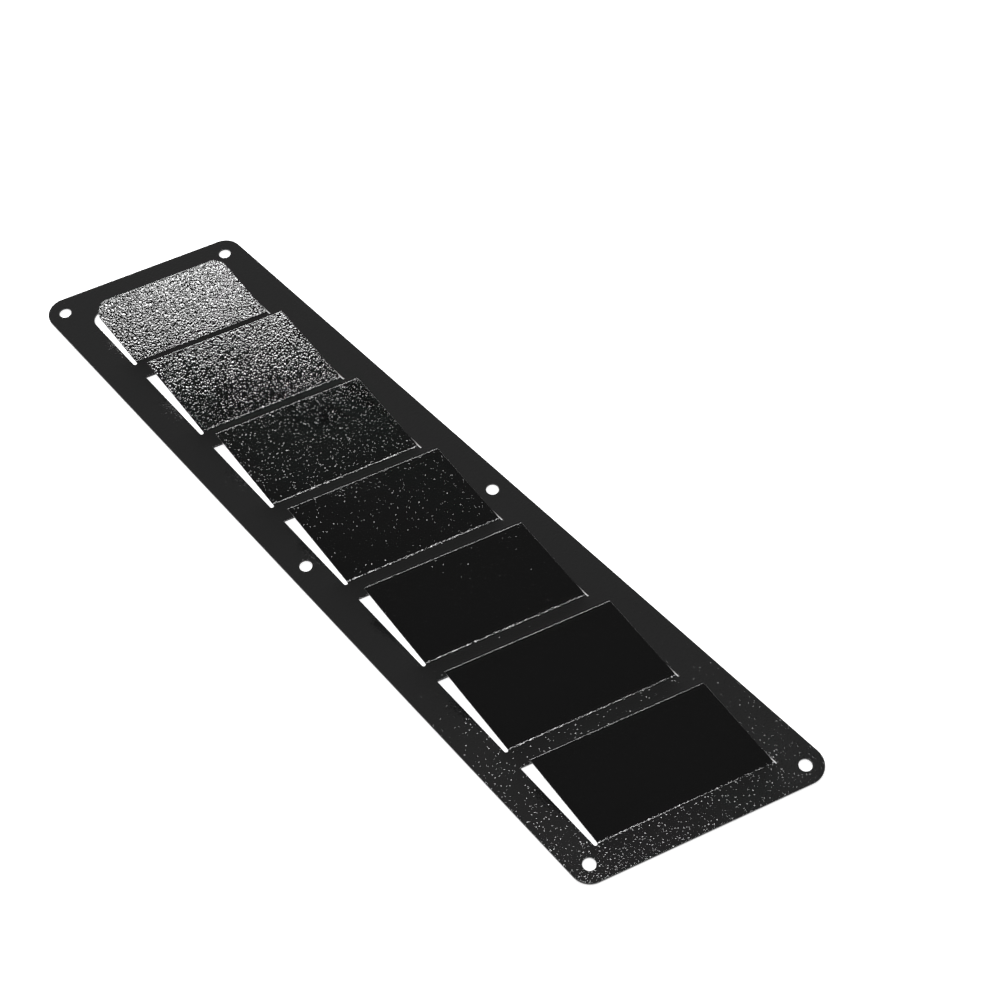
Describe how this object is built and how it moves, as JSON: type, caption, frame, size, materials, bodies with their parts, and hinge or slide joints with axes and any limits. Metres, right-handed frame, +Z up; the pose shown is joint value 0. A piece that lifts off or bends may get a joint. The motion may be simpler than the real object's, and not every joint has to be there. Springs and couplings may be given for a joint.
{
  "type": "car bonnet vent",
  "caption": "Long tapered sheet-metal panel with louvre blades cut and folded up along it, screwed or riveted over an opening in a bonnet to let hot air out.",
  "frame": {"origin": "in the plane of the sheet's underside, at the middle of the panel's outer box", "axes": "+X across the panel, to the right when the narrow end points away; +Y along the panel towards its narrow end, which the raised blades open towards; +Z up, out of the bonnet"},
  "size_m": [0.124, 0.469, 0.0208],
  "materials": {
    "black_powder_coat": "textured black powder coat, fine wrinkle grain, satin to matt"
  },
  "bodies": {
    "root": {"louvre_panel": "black_powder_coat"}
  },
  "joints": []
}
